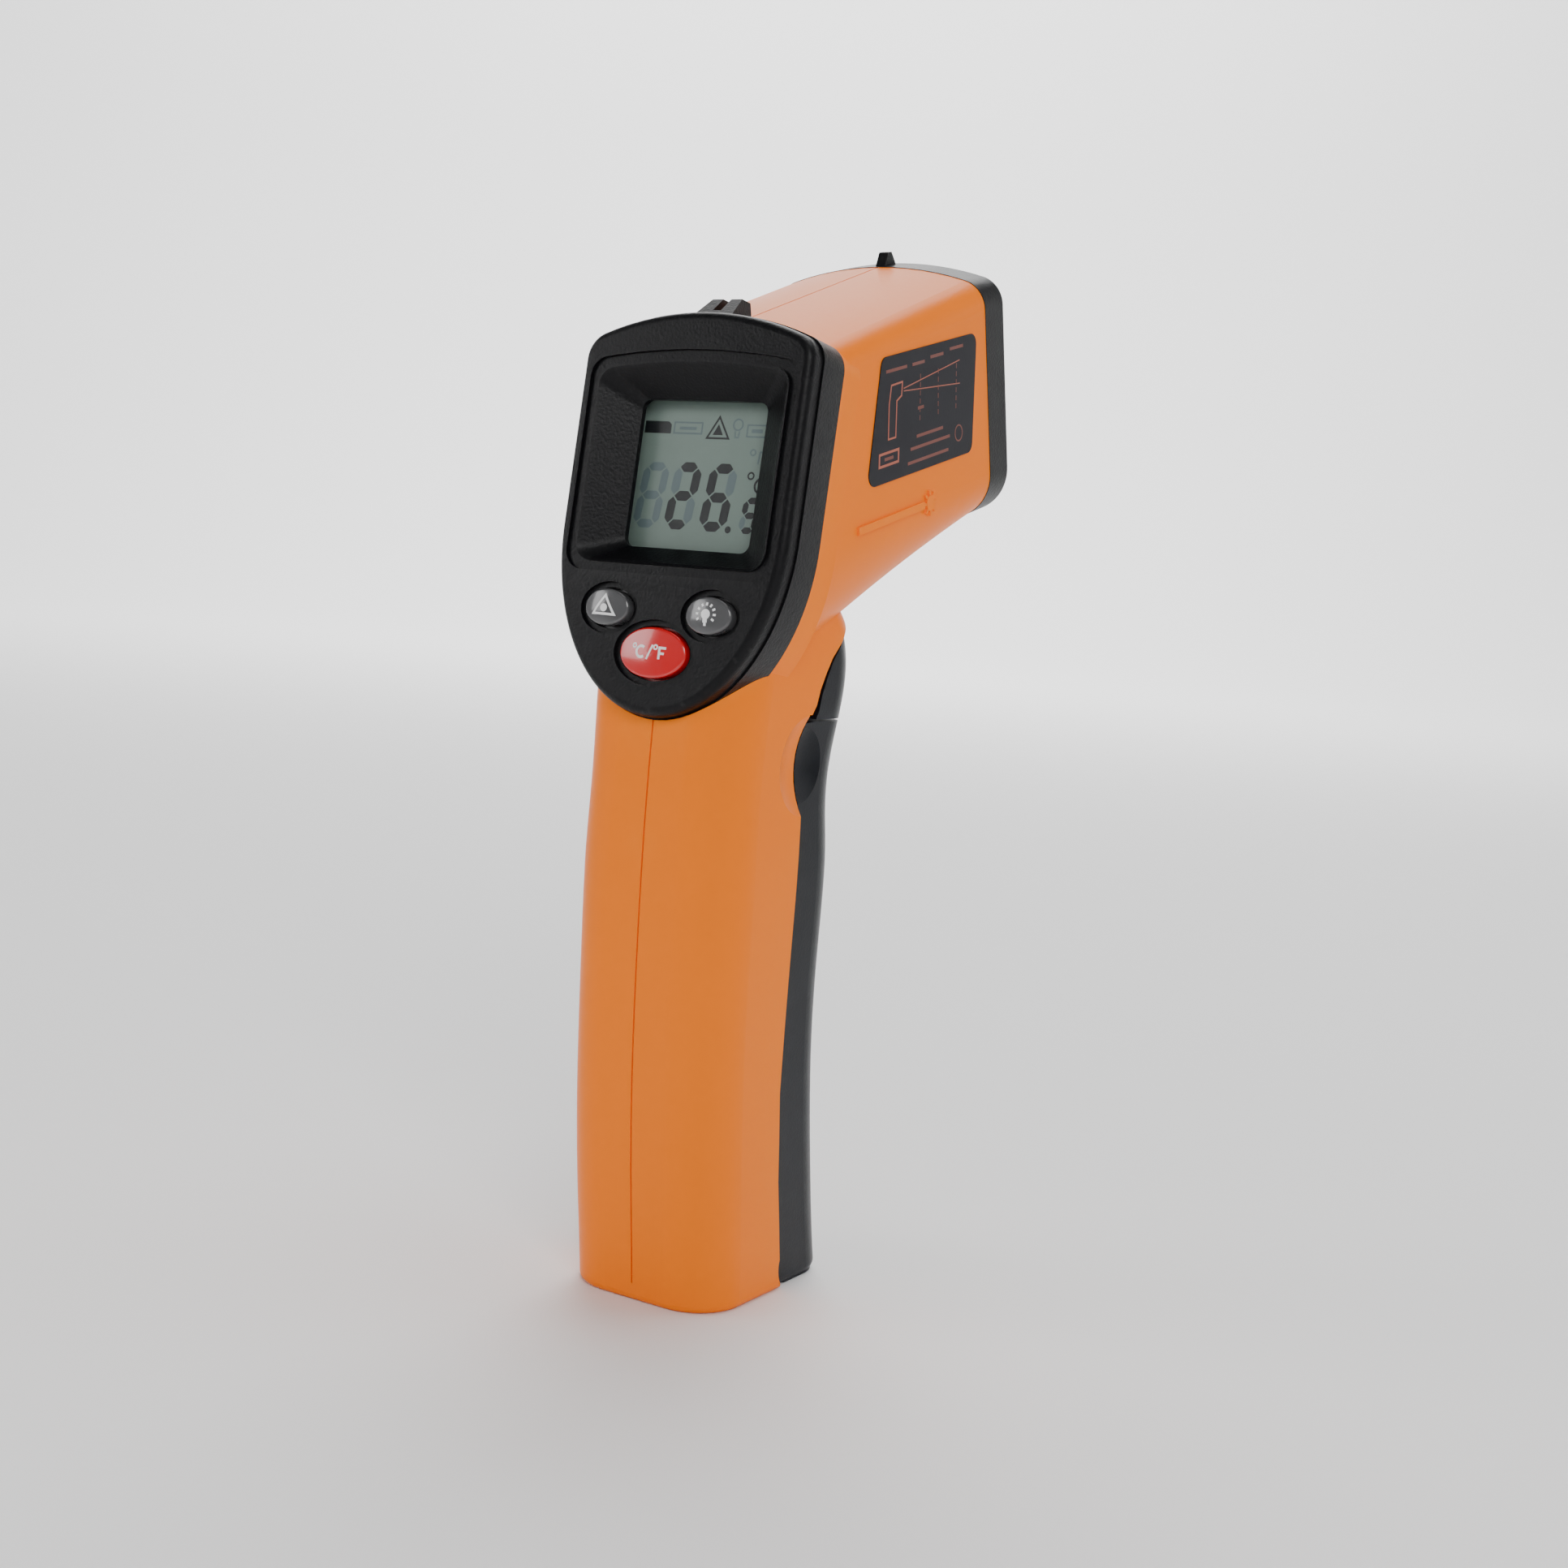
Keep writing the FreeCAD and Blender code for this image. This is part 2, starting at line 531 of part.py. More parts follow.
def make_switches():
    bodies = []
    plungers = {}
    floor = board_level + board_thick
    for name, (x, y, _) in buttons.items():
        half = switch_side / 2
        body = box(x - half, x + half, y - half, y + half, floor, floor + switch_height)
        body = body.cut(disc(plunger_radius + 0.05, floor + 0.6, floor + switch_height + 1, x, y))
        bodies.append(placed(body, face))
        top = floor + switch_height + plunger_rise
        plunger = disc(plunger_radius, floor + 0.6 + button_travel_room, top, x, y)
        plungers[name.replace("button", "plunger")] = placed(plunger, face)
    return Part.makeCompound(bodies), plungers


def make_display():
    window = rounded_box(window_half + 1.1, window_low - 1.1, window_high + 1.1,
                         window_level - 0.95 - window_thick, window_level - 0.95, 1.0)
    glass_top = window_level - 1.2 - window_thick
    glass = box(-13.2, 13.2, -10.8, 15.6, glass_top - 1.4, glass_top)
    backlight = box(-13.2, 13.2, -9.6, 14.4, glass_top - 3.2, glass_top - 1.5)
    floor = board_level + board_thick
    strips = [box(-12.6, 12.6, y - 0.5, y + 0.5, floor, glass_top - 1.4) for y in (-10.3, 15.1)]
    return {
        "display_window": placed(window, face),
        "lcd_glass": placed(glass, face),
        "lcd_backlight": placed(backlight, face),
        "lcd_contact_strips": placed(Part.makeCompound(strips), face),
    }


def make_main_board():
    board = rounded_box(16.4, -31.0, 19.0, board_level, board_level + board_thick, 4.0)
    board = board.common(prism(face_outline(panel_half, wall + 3.2), board_level, 5))
    screws = []
    for x, y in board_screw_places:
        board = board.cut(disc(0.9, board_level - 1, 5, x, y))
        shank = disc(0.8, board_level, face_level - 3.5, x, y)
        screws.append(placed(shank.fuse(disc(1.6, board_level - 1.0, board_level, x, y)), face))
    chip = box(-5, 5, -3, 7, board_level - 1.6, board_level)
    crystal = box(8, 12, 0, 3, board_level - 1.5, board_level)
    return {"main_board": placed(board, face), "main_chip": placed(chip, face),
            "timing_crystal": placed(crystal, face), "board_screws": Part.makeCompound(screws)}


def make_sensor():
    tube = rod_along(sensor_outer, 30.0, nose_seat + nose_depth - 3.2, sensor_z)
    tube = tube.cut(rod_along(sensor_bore, 31.5, 70, sensor_z)).cut(rod_along(2.4, 29, 40, sensor_z))
    tube = tube.cut(rod_along(sensor_bore + 0.6, 54.0, 70, sensor_z))
    lens = rod_along(sensor_bore + 0.5, 54.0, 54.8, sensor_z)
    ring = rod_along(sensor_bore + 0.6, 54.8, 57.0, sensor_z).cut(rod_along(sensor_bore - 0.8, 54, 58, sensor_z))
    can = rod_along(4.1, 26.6, 30.0, sensor_z).fuse(rod_along(4.6, 26.2, 26.8, sensor_z))
    board = box(-9.5, 9.5, 24.6, 26.2, sensor_z - 9.5, sensor_z + 9.5)
    pieces = {"sensor_tube": tube, "infrared_lens": lens, "lens_ring": ring,
              "thermopile": can, "sensor_board": board}
    return {name: placed(shape, head) for name, shape in pieces.items()}


def make_laser():
    barrel = rod_along(laser_radius, 36.0, 52.0, laser_z).cut(rod_along(2.3, 49.5, 53, laser_z))
    lens = rod_along(2.25, 49.6, 50.8, laser_z)
    holder = box(-5.0, 5.0, 40.0, 47.0, sensor_z + sensor_outer, laser_z + 3.6)
    holder = holder.cut(rod_along(laser_radius, 39, 48, laser_z)).cut(rod_along(sensor_outer, 39, 48, sensor_z))
    holder = holder.cut(box(-0.6, 0.6, 39, 48, laser_z, laser_z + 5))
    pieces = {"laser_barrel": barrel, "laser_lens": lens, "laser_holder": holder}
    return {name: placed(shape, head) for name, shape in pieces.items()}


def make_label():
    corners = [(13.6, -0.6), (49.4, -0.7), (52.6, 18.8), (20.2, 18.8)]
    blank = side_prism(corners, panel_half + 0.15)
    upright = [e for e in blank.Edges if e.BoundBox.XLength > panel_half]
    blank = blank.makeFillet(1.8, upright)
    right = blank.common(box(panel_half, 60, -10, 80, -20, 40))
    return {"side_label_right": placed(right, head),
            "side_label_left": placed(right.mirror(vec(0, 0, 0), across), head)}


def make_battery():
    # two cells side by side, head to tail: each nub meets a plate, each flat end a spring
    pieces = {}
    plates, springs = [], []
    nub_radius, nub, spring_radius, spring_wire, turns = 1.9, 1.0, 2.9, 0.28, 4
    room = high_shelf - low_shelf - contact_thick - cell_length
    spring = coil_spring(spring_radius, spring_wire, (room - 2 * spring_wire) / turns, turns)
    places = {
        "battery_cell_left": (-cell_x, low_shelf + room, 1, low_shelf),
        "battery_cell_right": (cell_x, high_shelf - room, -1, high_shelf - room),
    }
    for name, (x, base, way, spring_floor) in places.items():
        can = disc(cell_radius, 0, cell_length - nub).fuse(disc(nub_radius, 0, cell_length))
        plate = box(-4, 4, -4.4, 4, cell_length, cell_length + contact_thick)
        for shape, group in ((can, pieces), (plate, plates)):
            shape = shape.rotate(vec(0, 0, 0), across, 90 - 90 * way)
            shape.translate(vec(x, cell_y, base))
            if group is pieces:
                pieces[name] = shape
            else:
                plates.append(shape)
        coil = spring if way > 0 else spring.mirror(vec(0, 0, 0), across)
        springs.append(coil.translated(vec(x, cell_y, spring_floor + spring_wire)))
    pieces["contact_plates"] = Part.makeCompound(plates)
    pieces["contact_springs"] = Part.makeCompound(springs)
    return pieces


def make_leads():
    # battery leads run up behind the partition to the foot of the main board
    low_y = partition_rear - lead_radius
    leads = []
    for x, bottom in ((-4.0, high_shelf + 4), (4.0, low_shelf - 5)):
        points = [vec(x, low_y, bottom), vec(x, low_y - 0.6, 84), vec(x, -9.6, 92.5), vec(x * 1.1, -12.2, 99.2)]
        leads.append(lead(points, lead_radius))
    points = [vec(-2, 36.0, laser_z), vec(-2.6, 30, laser_z - 0.6), vec(-5, 22, laser_z - 0.4),
              vec(-7, 13.6, laser_z - 4)]
    return {"battery_leads": Part.makeCompound(leads), "laser_lead": placed(lead(points, lead_radius), head)}


def trigger_board_box(gap):
    return box(-8.0 - gap, 8.0 + gap, -8.4 - gap, -7.0 + gap, 98.5, 112.0)


def make_trigger_switch():
    board = trigger_board_box(0)
    body = box(-3.0, 3.0, -7.0, -3.4, 100.5, 106.5)
    body = body.cut(Part.makeCylinder(1.25, 4, vec(0, -6.0, 103.5), vec(0, 1, 0)))
    plunger = Part.makeCylinder(1.2, 6.05, vec(0, -4.3, 103.5), vec(0, 1, 0))
    return {"trigger_board": board, "trigger_switch_body": body, "trigger_plunger": plunger}


def make_pins():
    hinge_pin = rod_across(hinge_pin_radius, -12.2, 12.2, hinge_y, hinge_z)
    trigger_pin = rod_across(trigger_pin_radius, -9.0, 9.0, trigger_pin_y, trigger_pin_z)
    return {"door_hinge_pin": hinge_pin, "trigger_pin": trigger_pin}


def save(name, shape):
    shape.exportStep("parts/" + name + ".step")
    count = len(shape.Solids)
    print(name, "solids", count, "valid", shape.isValid(), "volume", round(shape.Volume, 1))


os.makedirs("parts", exist_ok=True)

housing = make_housing()
left = housing.common(box(-60, 0, -60, 120, -20, 200))
right = housing.common(box(0, 60, -60, 120, -20, 200))
left, right, screws = make_screws_and_holes(left, right)
switch_bodies, plungers = make_switches()

pieces = {
    "housing_left": left,
    "housing_right": right,
    "housing_screws": screws,
    "rear_bezel": make_rear_bezel(),
    "nose_bezel": make_nose_bezel(),
    "battery_door": make_door(),
    "trigger": make_trigger(),
    "trigger_spring": make_trigger_spring(),
    "button_switch_bodies": switch_bodies,
}
pieces.update(plungers)
for name, (x, y, size) in buttons.items():
    pieces[name] = make_button(x, y, size)
for group in (make_display(), make_main_board(), make_sensor(), make_laser(), make_label(),
              make_battery(), make_leads(), make_trigger_switch(), make_pins()):
    pieces.update(group)
for name, shape in pieces.items():
    save(name, shape)
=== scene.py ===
import bpy
import bmesh
import math
from mathutils import Matrix, Vector


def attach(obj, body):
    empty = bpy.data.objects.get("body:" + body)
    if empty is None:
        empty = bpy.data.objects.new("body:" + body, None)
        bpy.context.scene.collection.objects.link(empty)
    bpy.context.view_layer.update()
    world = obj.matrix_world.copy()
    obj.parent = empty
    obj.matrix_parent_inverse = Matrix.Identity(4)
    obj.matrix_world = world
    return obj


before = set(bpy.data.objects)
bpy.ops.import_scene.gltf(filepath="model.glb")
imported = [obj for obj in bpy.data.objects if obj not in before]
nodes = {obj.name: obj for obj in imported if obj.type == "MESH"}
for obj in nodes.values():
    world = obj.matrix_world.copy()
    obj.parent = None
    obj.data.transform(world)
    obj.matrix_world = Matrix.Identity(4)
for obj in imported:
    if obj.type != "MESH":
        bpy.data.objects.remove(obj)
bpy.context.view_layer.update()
mm = 0.001


# how the head and its rear face stand on the grip, the same as in the design
stance = {"rise": 15.0, "lean": 21.9, "headY": -13.8, "headZ": 127.8, "faceLevel": 9.2}

headPlace = Matrix.Translation((0, stance["headY"] * mm, stance["headZ"] * mm)) @ Matrix.Rotation(
    math.radians(stance["rise"]), 4, "X")
facePlace = headPlace @ Matrix.Rotation(math.radians(90 - stance["lean"]), 4, "X")


# camera, floor and lights
view = {
    "place": (0.18157, -0.28343, 0.11561),
    "right": (0.84796, 0.52443, 0.07709),
    "up": (-0.11653, 0.04257, 0.99227),
    "back": (0.51709, -0.85039, 0.09721),
    "lens": 47.52, "sensor": 36, "near": 0.01,
}


def makeCamera():
    data = bpy.data.cameras.new("camera")
    data.lens = view["lens"]
    data.sensor_width = view["sensor"]
    data.clip_start = view["near"]
    camera = bpy.data.objects.new("camera", data)
    bpy.context.scene.collection.objects.link(camera)
    turn = Matrix((view["right"], view["up"], view["back"])).transposed().to_4x4()
    camera.matrix_world = Matrix.Translation(view["place"]) @ turn
    bpy.context.scene.camera = camera


def linkObject(name, mesh):
    piece = bpy.data.objects.new(name, mesh)
    bpy.context.scene.collection.objects.link(piece)
    return piece


studio = {
    "floorReach": 4.0,
    "wallHeight": 3.0,
    "bend": 1.0,
    "bendSteps": 16,
    "aroundSteps": 48,
    "joinWithin": 1e-6,
    "floorColor": (0.9, 0.9, 0.9, 1),
    "floorRough": 0.9,
    "sky": 0.12,
    "lamps": [
        # name, place, aim, size, watts
        ("keyLamp", (0.6, -0.6, 0.6), (0, 0, 0.09), 0.35, 4.0),
        ("fillLamp", (-0.7, -0.6, 0.35), (0, 0, 0.09), 0.4, 2.2),
        ("topLamp", (0.1, 0.2, 0.9), (0, 0, 0.0), 0.5, 3.0),
        ("rimLamp", (0.6, 0.5, 0.3), (0, 0, 0.09), 0.4, 0.6),
        ("backLamp", (-1.3, 2.1, 2.2), (-2.0, 3.3, 0.3), 2.0, 120.0),
        ("floorLamp", (-0.6, 1.1, 1.6), (-0.6, 1.1, 0.0), 1.2, 20.0),
    ],
}


def makeStudio():
    # a floor that curves up into a wall behind the object, wide enough for any side view
    reach, bend = studio["floorReach"], studio["bend"]
    profile = [(0.0, 0.0)]
    for step in range(studio["bendSteps"] + 1):
        turn = math.pi / 2 * step / studio["bendSteps"]
        profile.append((reach - bend + bend * math.sin(turn), bend - bend * math.cos(turn)))
    profile.append((reach, studio["wallHeight"]))
    shape = bmesh.new()
    seams = []
    for distance, height in profile:
        seams.append(shape.verts.new((distance, 0, height)))
    edges = [shape.edges.new(pair) for pair in zip(seams, seams[1:])]
    bmesh.ops.spin(shape, geom=seams + edges, cent=(0, 0, 0), axis=(0, 0, 1), angle=2 * math.pi,
                   steps=studio["aroundSteps"], use_merge=True)
    bmesh.ops.remove_doubles(shape, verts=shape.verts[:], dist=studio["joinWithin"])
    for face in shape.faces:
        face.smooth = True
    mesh = bpy.data.meshes.new("floor")
    shape.to_mesh(mesh)
    shape.free()
    floor = linkObject("floor", mesh)
    pale = bpy.data.materials.new("paleFloor")
    pale.use_nodes = True
    surface = pale.node_tree.nodes["Principled BSDF"]
    surface.inputs["Base Color"].default_value = studio["floorColor"]
    surface.inputs["Roughness"].default_value = studio["floorRough"]
    mesh.materials.append(pale)
    world = bpy.data.worlds.new("studio")
    bpy.context.scene.world = world
    world.use_nodes = True
    sky = world.node_tree.nodes["Background"]
    sky.inputs["Color"].default_value = (1, 1, 1, 1)
    sky.inputs["Strength"].default_value = studio["sky"]
    for name, place, aim, size, watts in studio["lamps"]:
        data = bpy.data.lights.new(name, "AREA")
        data.size = size
        data.energy = watts
        lamp = bpy.data.objects.new(name, data)
        bpy.context.scene.collection.objects.link(lamp)
        lamp.location = place
        lamp.rotation_euler = (Vector(aim) - Vector(place)).to_track_quat("-Z", "Y").to_euler()


makeCamera()
makeStudio()
print("camera and studio ready")


# shared shader effects: bump reach, noise scales and detail, the sharpness that gets the full painted edge
# highlight
effects = {"bumpReach": 0.0002, "fineDetail": 3, "slowScale": 60, "slowDetail": 4, "patchScale": 700,
           "fullHighlightAt": 0.62, "coatRough": 0.08}


def newGroup(name, inputs, outputs):
    group = bpy.data.node_groups.new(name, "ShaderNodeTree")
    for label, kind, value in inputs:
        socket = group.interface.new_socket(label, in_out="INPUT", socket_type=kind)
        socket.default_value = value
    for label, kind in outputs:
        group.interface.new_socket(label, in_out="OUTPUT", socket_type=kind)
    return group, group.nodes.new("NodeGroupInput"), group.nodes.new("NodeGroupOutput")


def makeGrainGroup():
    # fine moulded grain with a slow mottling of colour and gloss
    group, given, result = newGroup("mouldGrain", [
        ("Color", "NodeSocketColor", (0.5, 0.5, 0.5, 1)), ("Roughness", "NodeSocketFloat", 0.4),
        ("Scale", "NodeSocketFloat", 2500.0), ("Depth", "NodeSocketFloat", 0.05),
        ("Mottle", "NodeSocketFloat", 0.05)],
        [("Color", "NodeSocketColor"), ("Roughness", "NodeSocketFloat"), ("Normal", "NodeSocketVector")])
    link = group.links.new
    place = group.nodes.new("ShaderNodeTexCoord")
    fine = group.nodes.new("ShaderNodeTexNoise")
    fine.inputs["Detail"].default_value = effects["fineDetail"]
    link(place.outputs["Object"], fine.inputs["Vector"])
    link(given.outputs["Scale"], fine.inputs["Scale"])
    bump = group.nodes.new("ShaderNodeBump")
    bump.inputs["Distance"].default_value = effects["bumpReach"]
    link(given.outputs["Depth"], bump.inputs["Strength"])
    link(fine.outputs["Fac"], bump.inputs["Height"])
    link(bump.outputs["Normal"], result.inputs["Normal"])
    slow = group.nodes.new("ShaderNodeTexNoise")
    slow.inputs["Scale"].default_value = effects["slowScale"]
    slow.inputs["Detail"].default_value = effects["slowDetail"]
    link(place.outputs["Object"], slow.inputs["Vector"])
    centred = group.nodes.new("ShaderNodeMath")
    centred.operation = "SUBTRACT"
    centred.inputs[1].default_value = 0.5
    link(slow.outputs["Fac"], centred.inputs[0])
    amount = group.nodes.new("ShaderNodeMath")
    amount.operation = "MULTIPLY"
    link(centred.outputs[0], amount.inputs[0])
    link(given.outputs["Mottle"], amount.inputs[1])
    gloss = group.nodes.new("ShaderNodeMath")
    gloss.operation = "ADD"
    link(given.outputs["Roughness"], gloss.inputs[0])
    link(amount.outputs[0], gloss.inputs[1])
    link(gloss.outputs[0], result.inputs["Roughness"])
    value = group.nodes.new("ShaderNodeMath")
    value.operation = "ADD"
    value.inputs[1].default_value = 1
    link(amount.outputs[0], value.inputs[0])
    shade = group.nodes.new("ShaderNodeHueSaturation")
    link(given.outputs["Color"], shade.inputs["Color"])
    link(value.outputs[0], shade.inputs["Value"])
    link(shade.outputs["Color"], result.inputs["Color"])
    return group


def makeEdgeHighlightGroup():
    # painted highlight on edges: paler where the surface turns sharply, broken up by noise
    group, given, result = newGroup("paintedEdgeHighlight", [
        ("Color", "NodeSocketColor", (0.5, 0.5, 0.5, 1)), ("Highlight", "NodeSocketColor", (0.6, 0.6, 0.6, 1)),
        ("Amount", "NodeSocketFloat", 0.3), ("Start", "NodeSocketFloat", 0.52)],
        [("Color", "NodeSocketColor")])
    link = group.links.new
    shape = group.nodes.new("ShaderNodeNewGeometry")
    place = group.nodes.new("ShaderNodeTexCoord")
    patchy = group.nodes.new("ShaderNodeTexNoise")
    patchy.inputs["Scale"].default_value = effects["patchScale"]
    link(place.outputs["Object"], patchy.inputs["Vector"])
    edge = group.nodes.new("ShaderNodeMapRange")
    edge.inputs["From Max"].default_value = effects["fullHighlightAt"]
    link(shape.outputs["Pointiness"], edge.inputs["Value"])
    link(given.outputs["Start"], edge.inputs["From Min"])
    broken = group.nodes.new("ShaderNodeMath")
    broken.operation = "MULTIPLY"
    link(edge.outputs["Result"], broken.inputs[0])
    link(patchy.outputs["Fac"], broken.inputs[1])
    amount = group.nodes.new("ShaderNodeMath")
    amount.operation = "MULTIPLY"
    link(broken.outputs[0], amount.inputs[0])
    link(given.outputs["Amount"], amount.inputs[1])
    mix = group.nodes.new("ShaderNodeMix")
    mix.data_type = "RGBA"
    link(amount.outputs[0], mix.inputs["Factor"])
    link(given.outputs["Color"], mix.inputs["A"])
    link(given.outputs["Highlight"], mix.inputs["B"])
    link(mix.outputs["Result"], result.inputs["Color"])
    return group


grainGroup = makeGrainGroup()
edgeHighlightGroup = makeEdgeHighlightGroup()


# every material: colour, roughness, grain scale and depth, mottling, then what is special to it, such as the
# paler tint and strength of the painted edge highlight on the plastics
materials = {
    "orangePlastic": {"color": (1.0, 0.21, 0.0), "rough": 0.36, "scale": 2600, "depth": 0.05, "mottle": 0.03,
                      "highlightTint": (1.0, 0.32, 0.04), "paintedShine": 0.3, "specular": 0.08},
    "blackPlastic": {"color": (0.004, 0.004, 0.005), "rough": 0.38, "scale": 2200, "depth": 0.32,
                     "mottle": 0.16, "highlightTint": (0.05, 0.05, 0.05), "paintedShine": 0.35, "specular": 0.18},
    "gripPlastic": {"color": (0.004, 0.005, 0.008), "rough": 0.34, "scale": 2400, "depth": 0.12,
                    "mottle": 0.1, "highlightTint": (0.05, 0.05, 0.06), "paintedShine": 0.3, "specular": 0.16},
    "clearWindow": {"color": (0.01, 0.01, 0.01), "rough": 0.06, "scale": 300, "depth": 0.01, "mottle": 0.02,
                    "alpha": 0.07},
    "panelGreen": {"color": (0.2, 0.27, 0.235), "rough": 0.42, "scale": 3000, "depth": 0.02, "mottle": 0.06},
    "segmentDark": {"color": (0.006, 0.008, 0.01), "rough": 0.4, "scale": 3000, "depth": 0.02, "mottle": 0.1},
    "segmentFaint": {"color": (0.125, 0.175, 0.185), "rough": 0.4, "scale": 3000, "depth": 0.02,
                     "mottle": 0.12},
    "greyKey": {"color": (0.075, 0.075, 0.078), "rough": 0.2, "scale": 1200, "depth": 0.03, "mottle": 0.08,
                "coat": 0.6},
    "redKey": {"color": (0.62, 0.003, 0.006), "rough": 0.2, "scale": 1200, "depth": 0.03, "mottle": 0.08,
               "coat": 0.7},
    "keyInk": {"color": (0.85, 0.85, 0.85), "rough": 0.4, "scale": 2000, "depth": 0.04, "mottle": 0.1},
    "labelFilm": {"color": (0.006, 0.006, 0.011), "rough": 0.42, "scale": 1800, "depth": 0.05, "mottle": 0.1,
                  "specular": 0.18},
    "labelInk": {"color": (0.17, 0.035, 0.02), "rough": 0.5, "scale": 2600, "depth": 0.05, "mottle": 0.5},
    "labelInkBright": {"color": (0.42, 0.10, 0.05), "rough": 0.5, "scale": 2600, "depth": 0.05,
                       "mottle": 0.4},
    "zincSteel": {"color": (0.55, 0.55, 0.57), "rough": 0.32, "scale": 900, "depth": 0.1, "mottle": 0.2,
                  "metal": 1.0},
    "brassBarrel": {"color": (0.7, 0.5, 0.2), "rough": 0.3, "scale": 900, "depth": 0.08, "mottle": 0.15,
                    "metal": 1.0},
    "whitePlastic": {"color": (0.8, 0.8, 0.77), "rough": 0.4, "scale": 1500, "depth": 0.05, "mottle": 0.06},
    "greyRubber": {"color": (0.2, 0.2, 0.22), "rough": 0.7, "scale": 1500, "depth": 0.1, "mottle": 0.1},
    "solderMask": {"color": (0.012, 0.13, 0.04), "rough": 0.3, "scale": 700, "depth": 0.1, "mottle": 0.3},
    "blackComponent": {"color": (0.012, 0.012, 0.012), "rough": 0.5, "scale": 1500, "depth": 0.15,
                       "mottle": 0.1},
    "redPlunger": {"color": (0.55, 0.06, 0.03), "rough": 0.4, "scale": 1500, "depth": 0.05, "mottle": 0.1},
    "milkyLens": {"color": (0.72, 0.72, 0.7), "rough": 0.3, "scale": 1200, "depth": 0.06, "mottle": 0.1},
    "lensGlass": {"color": (0.25, 0.3, 0.34), "rough": 0.05, "scale": 300, "depth": 0.01, "mottle": 0.02},
    "cellSleeve": {"color": (0.05, 0.09, 0.06), "rough": 0.3, "scale": 400, "depth": 0.04, "mottle": 0.1,
                   "band": (0.45, 0.3, 0.08)},
    "leadRed": {"color": (0.42, 0.015, 0.015), "rough": 0.5, "scale": 1500, "depth": 0.06, "mottle": 0.1},
}


# where a cell's sleeve, its band and its bare far end start, as a share of the height that the ramp spans
sleeve = {"metal": (0.5, 0.5, 0.5, 1), "starts": (0.285, 0.56, 0.655), "perSpan": 10}


def paint(name):
    given = materials[name]
    material = bpy.data.materials.new(name)
    material.use_nodes = True
    tree = material.node_tree
    link = tree.links.new
    surface = tree.nodes["Principled BSDF"]
    surface.inputs["Metallic"].default_value = given.get("metal", 0.0)
    surface.inputs["Coat Weight"].default_value = given.get("coat", 0.0)
    surface.inputs["Specular IOR Level"].default_value = given.get("specular", 0.5)
    surface.inputs["Coat Roughness"].default_value = effects["coatRough"]
    surface.inputs["Alpha"].default_value = given.get("alpha", 1.0)
    grain = tree.nodes.new("ShaderNodeGroup")
    grain.node_tree = grainGroup
    grain.inputs["Roughness"].default_value = given["rough"]
    grain.inputs["Scale"].default_value = given["scale"]
    grain.inputs["Depth"].default_value = given["depth"]
    grain.inputs["Mottle"].default_value = given["mottle"]
    color = (*given["color"], 1)
    grain.inputs["Color"].default_value = color
    # painted highlight: a paler tint mixed in where the surface turns sharply
    if "paintedShine" in given:
        paintedShine = tree.nodes.new("ShaderNodeGroup")
        paintedShine.node_tree = edgeHighlightGroup
        paintedShine.inputs["Color"].default_value = color
        paintedShine.inputs["Highlight"].default_value = (*given["highlightTint"], 1)
        paintedShine.inputs["Amount"].default_value = given["paintedShine"]
        link(paintedShine.outputs["Color"], grain.inputs["Color"])
    if "band" in given:
        # a cell's sleeve: bare metal at the ends and a pale band near one of them
        place = tree.nodes.new("ShaderNodeTexCoord")
        split = tree.nodes.new("ShaderNodeSeparateXYZ")
        link(place.outputs["Object"], split.inputs["Vector"])
        ramp = tree.nodes.new("ShaderNodeValToRGB")
        ramp.color_ramp.interpolation = "CONSTANT"
        tints = [sleeve["metal"], color, (*given["band"], 1), sleeve["metal"]]
        for index, (at, tint) in enumerate(zip((0.0, *sleeve["starts"]), tints)):
            stop = ramp.color_ramp.elements[index] if index < 2 else ramp.color_ramp.elements.new(at)
            stop.position = at
            stop.color = tint
        height = tree.nodes.new("ShaderNodeMath")
        height.operation = "MULTIPLY"
        height.inputs[1].default_value = sleeve["perSpan"]
        link(split.outputs["Z"], height.inputs[0])
        link(height.outputs[0], ramp.inputs["Fac"])
        link(ramp.outputs["Color"], grain.inputs["Color"])
    link(grain.outputs["Color"], surface.inputs["Base Color"])
    link(grain.outputs["Roughness"], surface.inputs["Roughness"])
    link(grain.outputs["Normal"], surface.inputs["Normal"])
    return material


palette = {name: paint(name) for name in materials}

coats = {
    "orangePlastic": ["housing_left", "housing_right"],
    "blackPlastic": ["rear_bezel", "nose_bezel"],
    "gripPlastic": ["battery_door", "trigger"],
    "clearWindow": ["display_window"],
    "panelGreen": ["lcd_glass"],
    "greyKey": ["laser_button", "backlight_button"],
    "redKey": ["unit_button"],
    "labelFilm": ["side_label_left", "side_label_right"],
    "zincSteel": ["housing_screws", "board_screws", "door_hinge_pin", "trigger_pin", "trigger_spring",
                  "contact_springs", "contact_plates", "thermopile", "timing_crystal"],
    "brassBarrel": ["laser_barrel"],
    "whitePlastic": ["lcd_backlight", "laser_holder"],
    "greyRubber": ["lcd_contact_strips"],
    "solderMask": ["main_board", "sensor_board", "trigger_board"],
    "blackComponent": ["main_chip", "button_switch_bodies", "trigger_switch_body", "sensor_tube",
                       "lens_ring"],
    "redPlunger": ["laser_plunger", "backlight_plunger", "unit_plunger", "trigger_plunger"],
    "milkyLens": ["infrared_lens"],
    "lensGlass": ["laser_lens"],
    "cellSleeve": ["battery_cell_left", "battery_cell_right"],
    "leadRed": ["battery_leads", "laser_lead"],
}


def coverNodes():
    for name, members in coats.items():
        for member in members:
            node = nodes[member]
            slots = node.material_slots
            if not slots:
                node.data.materials.append(palette[name])
            for slot in slots:
                slot.material = palette[name]


coverNodes()
print("materials ready")


